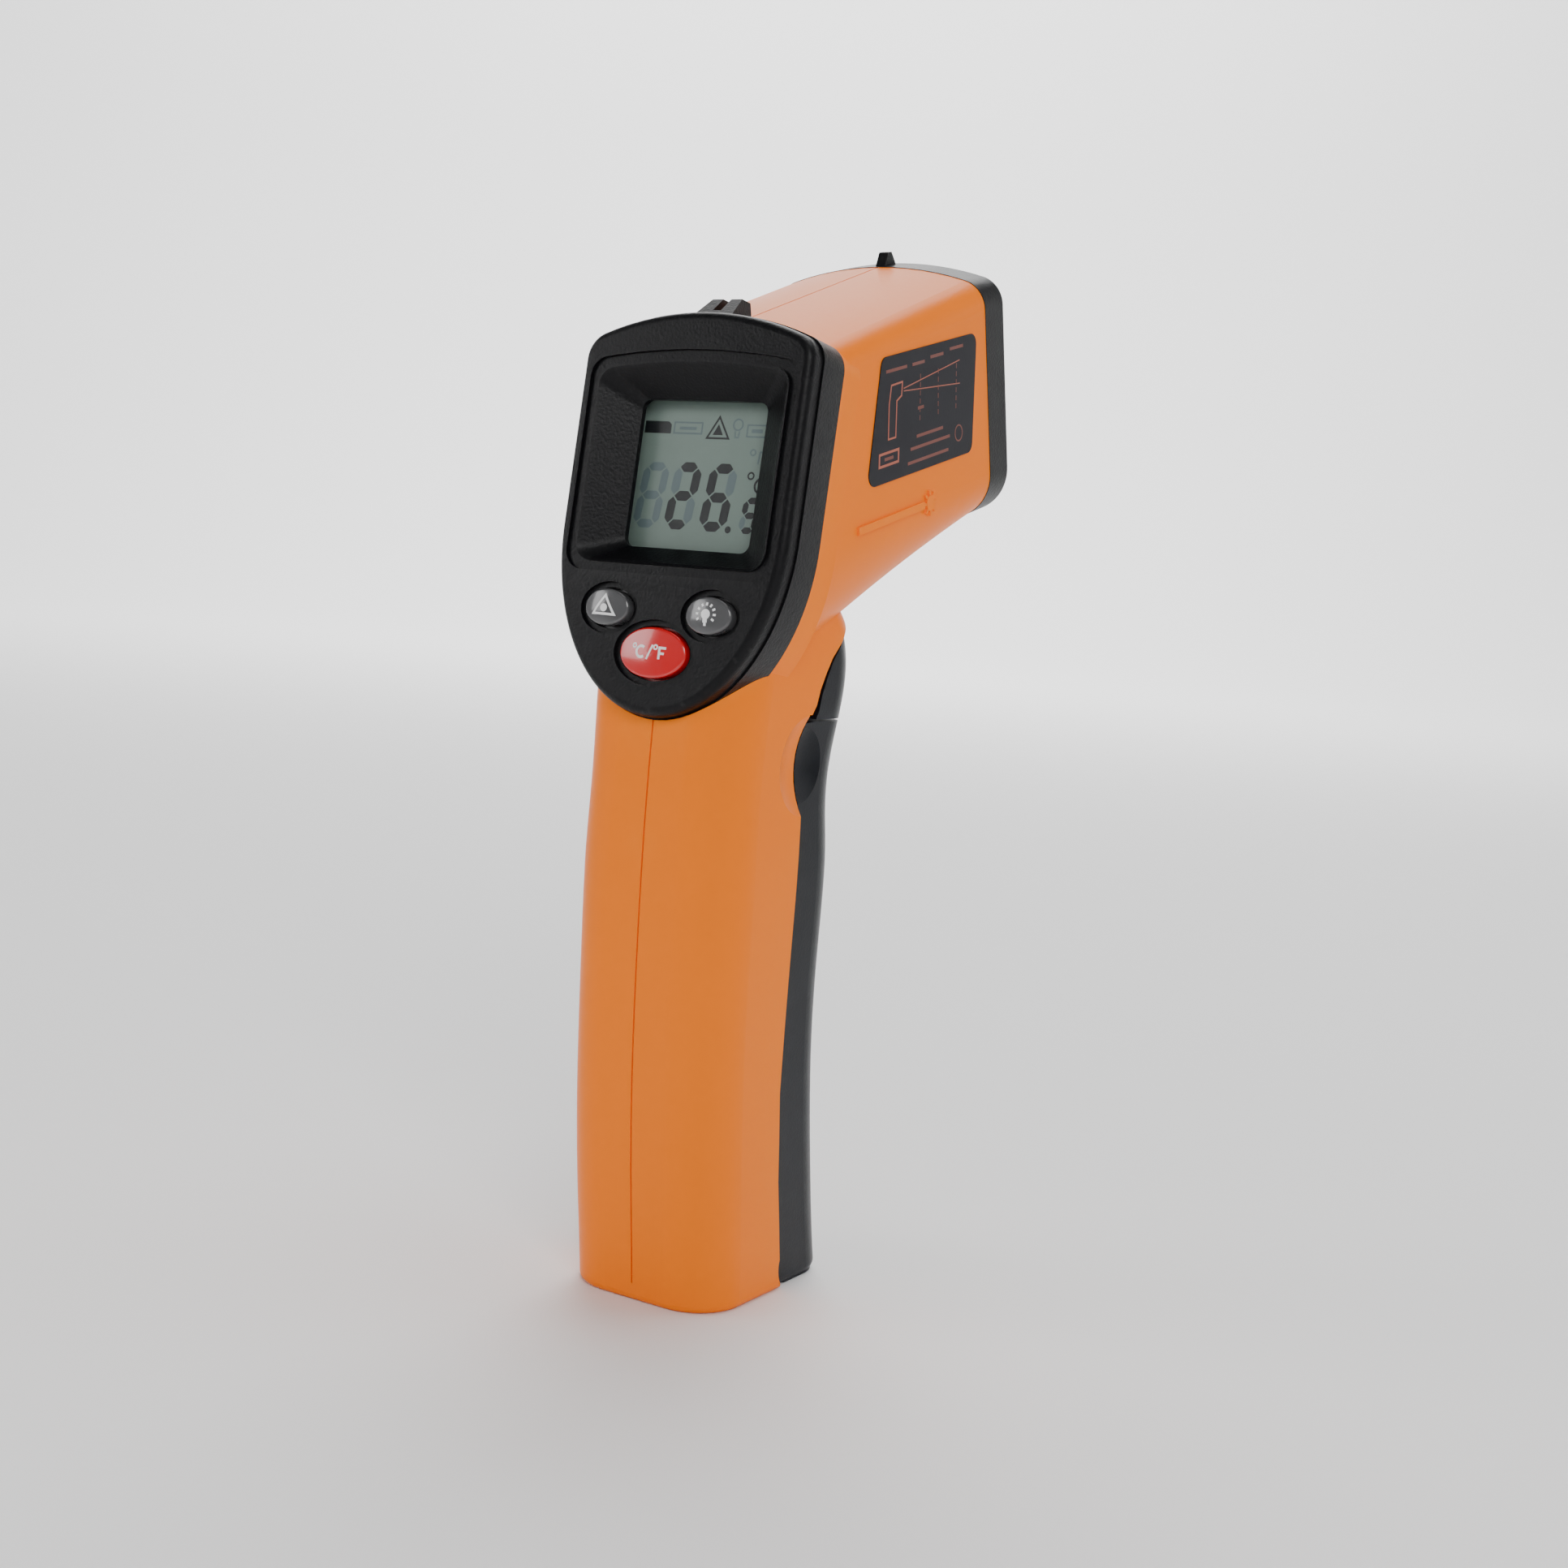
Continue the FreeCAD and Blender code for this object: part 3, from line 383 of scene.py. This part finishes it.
# flat art drawn as thin raised shapes, on a plane or over a dome
def strokeBand(points, width, closed=False):
    # the left and right edge of a line, mitred at its corners
    line = [Vector(point) for point in points]
    count = len(line)
    band = []
    for index, here in enumerate(line):
        before = line[index - 1] if index or closed else None
        after = line[(index + 1) % count] if index < count - 1 or closed else None
        came = (here - before).normalized() if before else (after - here).normalized()
        goes = (after - here).normalized() if after else came
        normal = Vector((-came.y - goes.y, came.x + goes.x)).normalized()
        reach = width / 2 / max(0.4, normal.dot(Vector((-came.y, came.x))))
        band.append((here + normal * reach, here - normal * reach))
    pairs = list(zip(band, band[1:] + (band[:1] if closed else [])))
    return [(a[0], a[1], b[1], b[0]) for a, b in pairs]


def arcPoints(x, y, radius, start, end, steps):
    turns = [math.radians(start + (end - start) * step / steps) for step in range(steps + 1)]
    return [(x + radius * math.cos(turn), y + radius * math.sin(turn)) for turn in turns]


def ring(x, y, radius, width, steps=24):
    return strokeBand(arcPoints(x, y, radius, 0, 360, steps)[:-1], width, True)


def spot(x, y, radius, steps=20):
    rim = [Vector(point) for point in arcPoints(x, y, radius, 0, 360, steps)]
    return [(Vector((x, y)), a, b) for a, b in zip(rim, rim[1:])]


def splitStroke(points, step):
    fine = []
    for a, b in zip(points, points[1:]):
        a, b = Vector(a), Vector(b)
        pieces = max(1, math.ceil((b - a).length / step))
        fine += [tuple(a.lerp(b, part / pieces)) for part in range(pieces)]
    return fine + [tuple(points[-1])]


def raiseArt(name, shapes, place, surface, thick, material, body="body"):
    # each flat shape becomes a closed sheet that sits on the surface, its foot sunk into it
    shape = bmesh.new()
    for corners in shapes:
        low = [shape.verts.new(place @ Vector((x * mm, y * mm, (surface(x, y) - thick) * mm)))
               for x, y in corners]
        high = [shape.verts.new(place @ Vector((x * mm, y * mm, (surface(x, y) + thick) * mm)))
                for x, y in corners]
        shape.faces.new(low[::-1])
        shape.faces.new(high)
        for index in range(len(low)):
            after = (index + 1) % len(low)
            shape.faces.new((low[index], low[after], high[after], high[index]))
    bmesh.ops.recalc_face_normals(shape, faces=shape.faces[:])
    mesh = bpy.data.meshes.new(name)
    shape.to_mesh(mesh)
    shape.free()
    mesh.materials.append(palette[material])
    piece = linkObject(name, mesh)
    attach(piece, body)
    return piece


# the display: slanted digits, faint unlit segments and a row of symbols over them
display = {
    "level": 2.2, "thick": 0.02, "slant": 0.1, "foot": -5.8, "gapShare": 0.12,
    "pointAt": (5.75, -5.35), "pointRadius": 0.55,
    "digits": [
        # left end at the foot, width, height, line width, lit segments
        (-12.4, 4.9, 10.4, 1.35, ""),
        (-6.5, 5.1, 10.6, 1.55, "abged"),
        (0.1, 5.1, 10.6, 1.55, "afgecd"),
        (7.5, 3.2, 5.6, 1.0, "afgcd"),
    ],
}


def segmentShapes(left, width, height, line):
    slant, foot = display["slant"], display["foot"]
    half, gap = line / 2, line * display["gapShare"]
    middle = height / 2
    spans = {
        "a": ((half, height - half), (width - half, height - half)),
        "b": ((width - half, height - half), (width - half, middle)),
        "c": ((width - half, middle), (width - half, half)),
        "d": ((half, half), (width - half, half)),
        "e": ((half, middle), (half, half)),
        "f": ((half, height - half), (half, middle)),
        "g": ((half, middle), (width - half, middle)),
    }
    shapes = {}
    for key, (start, end) in spans.items():
        a, b = Vector(start), Vector(end)
        along = (b - a).normalized()
        side = Vector((-along.y, along.x)) * half
        a, b = a + along * gap, b - along * gap
        corners = [a, a + along * half + side, b - along * half + side, b,
                   b - along * half - side, a + along * half - side]
        shapes[key] = [Vector((left + p.x + slant * p.y, foot + p.y)) for p in corners]
    return shapes


def makeDisplay():
    lit, faint = [], []
    for left, width, height, line, on in display["digits"]:
        shapes = segmentShapes(left, width, height, line)
        for key, corners in shapes.items():
            (lit if key in on else faint).append(corners)
    lit += spot(*display["pointAt"], display["pointRadius"])
    # lit box with a cut corner, triangle with its inner mark, degree ring and a curved letter
    lit.append([Vector(p) for p in ((-12.4, 9.2), (-7.4, 9.2), (-7.4, 10.6), (-8.0, 11.1), (-12.4, 11.1))])
    lit += strokeBand([(-0.5, 8.7), (1.45, 12.0), (3.5, 8.7)], 0.32, True)
    lit.append([Vector(p) for p in ((0.5, 9.2), (2.4, 9.2), (1.45, 10.9))])
    lit += ring(8.6, 3.1, 0.5, 0.28)
    lit += strokeBand(arcPoints(10.6, 1.6, 1.1, 60, 300, 12), 0.34)
    # unlit: box, lamp, cell and the other unit
    faint += strokeBand([(-6.8, 9.3), (-1.6, 9.3), (-1.6, 11.0), (-6.8, 11.0)], 0.3, True)
    faint += strokeBand([(-5.8, 10.1), (-2.6, 10.1)], 0.5)
    faint += ring(5.0, 10.9, 0.85, 0.28)
    faint += strokeBand([(4.6, 9.9), (4.7, 8.9), (5.3, 8.9), (5.4, 9.9)], 0.25)
    faint += strokeBand([(6.8, 9.1), (10.4, 9.1), (10.4, 10.9), (6.8, 10.9)], 0.26, True)
    faint += strokeBand([(7.6, 10.0), (9.6, 10.0)], 0.6)
    faint += ring(8.4, 6.7, 0.45, 0.24)
    faint += strokeBand([(9.5, 4.9), (9.7, 6.8), (11.2, 6.8)], 0.3)
    level = display["level"]
    for name, shapes, material in (("lcd_lit_segments", lit, "segmentDark"),
                                   ("lcd_unlit_segments", faint, "segmentFaint")):
        piece = raiseArt(name, shapes, facePlace, lambda x, y: level, display["thick"], material)


makeDisplay()


# key symbols, laid over the domes
keys = {
    "small": {"width": 8.2, "rise": 1.3},
    "large": {"width": 12.2, "rise": 0.9},
    "domeDrop": 0.8, "thick": 0.03,
    "laser": (-9.4, -19.5), "backlight": (9.4, -19.5), "unit": (0.0, -25.8),
}


def domeSurface(size, x0, y0):
    top = stance["faceLevel"] + keys[size]["rise"]
    drop = keys["domeDrop"]
    ball = (keys[size]["width"] ** 2 / 4 + drop ** 2) / (2 * drop)
    return lambda x, y: top - ball + math.sqrt(ball ** 2 - (x - x0) ** 2 - (y - y0) ** 2)


def moved(shapes, x0, y0):
    return [[Vector((p[0] + x0, p[1] + y0)) for p in corners] for corners in shapes]


def makeKeySymbols():
    fine = 0.35
    triangle = splitStroke([(-1.95, -1.15), (0.0, 1.75), (1.95, -1.15), (-1.95, -1.15)], fine)
    laserArt = strokeBand(triangle[:-1], 0.36, True) + spot(0.0, -0.2, 0.62)
    lampArt = spot(0.0, 0.15, 0.78)
    lampArt += strokeBand([(0.0, -0.45), (0.02, -0.75), (0.04, -1.1)], 0.75)
    lampArt += strokeBand([(0.04, -1.1), (0.05, -1.6)], 0.42)
    hub = Vector((0, 0.15))
    for turn in range(-30, 211, 30):
        angle = math.radians(turn)
        reach = Vector((math.cos(angle), math.sin(angle)))
        lampArt += strokeBand([reach * 1.3 + hub, reach * 1.78 + hub], 0.34)
    unitArt = ring(-2.95, 0.85, 0.32, 0.24, 14)
    unitArt += strokeBand(arcPoints(-1.6, 0.0, 0.85, 50, 310, 14), 0.4)
    unitArt += strokeBand(splitStroke([(-0.45, -1.1), (0.45, 1.15)], fine), 0.32)
    unitArt += ring(1.0, 0.85, 0.32, 0.24, 14)
    unitArt += strokeBand(splitStroke([(1.75, -0.95), (1.75, 0.8), (2.85, 0.8)], fine), 0.38)
    unitArt += strokeBand(splitStroke([(1.8, -0.05), (2.6, -0.05)], fine), 0.36)
    for key, size, art in (("laser", "small", laserArt), ("backlight", "small", lampArt),
                           ("unit", "large", unitArt)):
        x0, y0 = keys[key]
        button = key + "_button"
        piece = raiseArt(key + "_key_symbol", moved(art, x0, y0), facePlace, domeSurface(size, x0, y0),
                         keys["thick"], "keyInk", button)


makeKeySymbols()
print("display and keys ready")


# side labels: a plain pointing diagram, dashed distance lines and bars in place of words
label = {"level": 20.55, "thick": 0.02, "dashFoot": 7.4, "dashRise": 7.8, "dashes": 6, "dashShare": 0.62}


def sidePlace(sign, out=0, y=0, z=0):
    # label coordinates run along the barrel and up, on both sides of the head
    turn = Matrix(((0, 0, sign, sign * out * mm), (1, 0, 0, y * mm), (0, 1, 0, z * mm), (0, 0, 0, 1)))
    return headPlace @ turn


def makeLabelArt():
    bright = strokeBand([(20.9, 6.0), (23.3, 6.0), (24.2, 11.6), (25.8, 12.2), (26.3, 14.3), (22.7, 14.2),
                         (21.7, 11.4)], 0.28, True)
    bright += strokeBand([(26.6, 13.2), (46.0, 15.1)], 0.16)
    bright += strokeBand([(26.6, 12.8), (45.8, 11.3)], 0.16)
    bright += strokeBand([(17.6, 2.1), (23.8, 2.1), (24.1, 4.0), (17.9, 4.0)], 0.4, True)
    dim = strokeBand([(19.4, 3.05), (22.3, 3.05)], 0.5)
    for top, foot in ((32.4, 31.5), (38.5, 37.8), (44.9, 44.1)):
        for part in range(label["dashes"]):
            ends = (part / label["dashes"], (part + label["dashShare"]) / label["dashes"])
            dim += strokeBand([(foot + (top - foot) * share, label["dashFoot"] + label["dashRise"] * share)
                               for share in ends], 0.2)
    bars = [(21.2, 16.5, 28.0), (29.8, 16.5, 33.9), (35.9, 16.9, 40.4), (42.7, 17.3, 47.4), (31.0, 9.4, 33.0),
            (30.2, 5.0, 39.3), (28.0, 3.25, 41.6), (26.9, 1.1, 40.9)]
    for start, height, end in bars:
        dim += strokeBand([(start, height), (end, height)], 0.5)
    dim += ring(44.8, 3.2, 1.3, 0.25)
    for side, sign in (("right", 1), ("left", -1)):
        for tone, shapes, material in (("bright", bright, "labelInkBright"), ("dim", dim, "labelInk")):
            piece = raiseArt("label_lines_" + tone + "_" + side, shapes, sidePlace(sign),
                             lambda x, y: label["level"], label["thick"], material)


makeLabelArt()


# repeated detail by rule: rays round the moulded boss, and the stepped rings of the milky lens
repeats = {
    "rayCount": 8, "rayHub": (33.6, -6.5), "rayInner": 1.2, "rayLength": 0.9, "rayWidth": 0.45,
    "rayHeight": 0.4, "sidePanel": 20.4,
    "ringCount": 9, "ringSides": 48, "ringWire": 0.13, "wireSides": 6,
    "lensFront": 54.8, "lensCentre": 4.5, "lensRadius": 7.4,
}


def geometryTree(name, inputs):
    tree = bpy.data.node_groups.new(name, "GeometryNodeTree")
    for title, kind, value in inputs:
        socket = tree.interface.new_socket(title, in_out="INPUT", socket_type=kind)
        socket.default_value = value
    tree.interface.new_socket("Geometry", in_out="OUTPUT", socket_type="NodeSocketGeometry")
    return tree, tree.nodes.new("NodeGroupInput"), tree.nodes.new("NodeGroupOutput")


def finishTree(tree, geometry, result, material):
    realize = tree.nodes.new("GeometryNodeRealizeInstances")
    cover = tree.nodes.new("GeometryNodeSetMaterial")
    cover.inputs["Material"].default_value = material
    tree.links.new(geometry, realize.inputs["Geometry"])
    tree.links.new(realize.outputs["Geometry"], cover.inputs["Geometry"])
    tree.links.new(cover.outputs["Geometry"], result.inputs["Geometry"])


def convertTree(name, tree, place, material):
    # run the tree once and keep its result as a plain mesh in its place
    carrier = linkObject(name + "_carrier", bpy.data.meshes.new(name + "_carrier"))
    modifier = carrier.modifiers.new("shape", "NODES")
    modifier.node_group = tree
    depsgraph = bpy.context.evaluated_depsgraph_get()
    mesh = bpy.data.meshes.new_from_object(carrier.evaluated_get(depsgraph), depsgraph=depsgraph)
    bpy.data.objects.remove(carrier)
    mesh.transform(place)
    if place.determinant() < 0:
        mesh.flip_normals()
    mesh.materials.clear()
    mesh.materials.append(palette[material])
    return linkObject(name, mesh)


def rayTree():
    tree, given, result = geometryTree("sunburstRays", [
        ("Count", "NodeSocketInt", repeats["rayCount"]),
        ("Middle", "NodeSocketFloat", (repeats["rayInner"] + repeats["rayLength"] / 2) * mm)])
    circle = tree.nodes.new("GeometryNodeMeshCircle")
    tree.links.new(given.outputs["Count"], circle.inputs["Vertices"])
    tree.links.new(given.outputs["Middle"], circle.inputs["Radius"])
    ray = tree.nodes.new("GeometryNodeMeshCube")
    size = Vector((repeats["rayLength"], repeats["rayWidth"], 2 * repeats["rayHeight"])) * mm
    ray.inputs["Size"].default_value = size
    index = tree.nodes.new("GeometryNodeInputIndex")
    turn = tree.nodes.new("ShaderNodeMath")
    turn.operation = "MULTIPLY"
    turn.inputs[1].default_value = 2 * math.pi / repeats["rayCount"]
    spin = tree.nodes.new("ShaderNodeCombineXYZ")
    spread = tree.nodes.new("GeometryNodeInstanceOnPoints")
    tree.links.new(index.outputs[0], turn.inputs[0])
    tree.links.new(turn.outputs[0], spin.inputs["Z"])
    tree.links.new(circle.outputs["Mesh"], spread.inputs["Points"])
    tree.links.new(ray.outputs["Mesh"], spread.inputs["Instance"])
    tree.links.new(spin.outputs["Vector"], spread.inputs["Rotation"])
    finishTree(tree, spread.outputs["Instances"], result, palette["orangePlastic"])
    return tree


def ringTree():
    # thin upright rings, one inside the other
    tree, given, result = geometryTree("lensRings", [
        ("Count", "NodeSocketInt", repeats["ringCount"]),
        ("Step", "NodeSocketFloat", repeats["lensRadius"] / repeats["ringCount"] * mm)])
    line = tree.nodes.new("GeometryNodeMeshLine")
    tree.links.new(given.outputs["Count"], line.inputs["Count"])
    line.inputs["Offset"].default_value = (0, 0, 0)
    circle = tree.nodes.new("GeometryNodeCurvePrimitiveCircle")
    circle.inputs["Resolution"].default_value = repeats["ringSides"]
    circle.inputs["Radius"].default_value = 1.0
    spread = tree.nodes.new("GeometryNodeInstanceOnPoints")
    index = tree.nodes.new("GeometryNodeInputIndex")
    after = tree.nodes.new("ShaderNodeMath")
    after.operation = "ADD"
    after.inputs[1].default_value = 1
    size = tree.nodes.new("ShaderNodeMath")
    size.operation = "MULTIPLY"
    tree.links.new(index.outputs[0], after.inputs[0])
    tree.links.new(after.outputs[0], size.inputs[0])
    tree.links.new(given.outputs["Step"], size.inputs[1])
    tree.links.new(line.outputs["Mesh"], spread.inputs["Points"])
    tree.links.new(circle.outputs["Curve"], spread.inputs["Instance"])
    tree.links.new(size.outputs[0], spread.inputs["Scale"])
    real = tree.nodes.new("GeometryNodeRealizeInstances")
    profile = tree.nodes.new("GeometryNodeCurvePrimitiveCircle")
    profile.inputs["Resolution"].default_value = repeats["wireSides"]
    profile.inputs["Radius"].default_value = repeats["ringWire"] * mm
    tube = tree.nodes.new("GeometryNodeCurveToMesh")
    tree.links.new(spread.outputs["Instances"], real.inputs["Geometry"])
    tree.links.new(real.outputs["Geometry"], tube.inputs["Curve"])
    tree.links.new(profile.outputs["Curve"], tube.inputs["Profile Curve"])
    finishTree(tree, tube.outputs["Mesh"], result, palette["milkyLens"])
    return tree


def makeRepeats():
    y, z = repeats["rayHub"]
    rays = rayTree()
    for side, sign in (("right", 1), ("left", -1)):
        place = sidePlace(sign, repeats["sidePanel"], y, z)
        piece = convertTree("sunburst_rays_" + side, rays, place, "orangePlastic")
        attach(piece, "body")
    turn = Matrix.Translation((0, repeats["lensFront"] * mm, repeats["lensCentre"] * mm)) @ Matrix.Rotation(
        math.radians(90), 4, "X")
    piece = convertTree("lens_rings", ringTree(), headPlace @ turn, "milkyLens")
    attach(piece, "body")


makeRepeats()
print("label art and repeated detail ready")
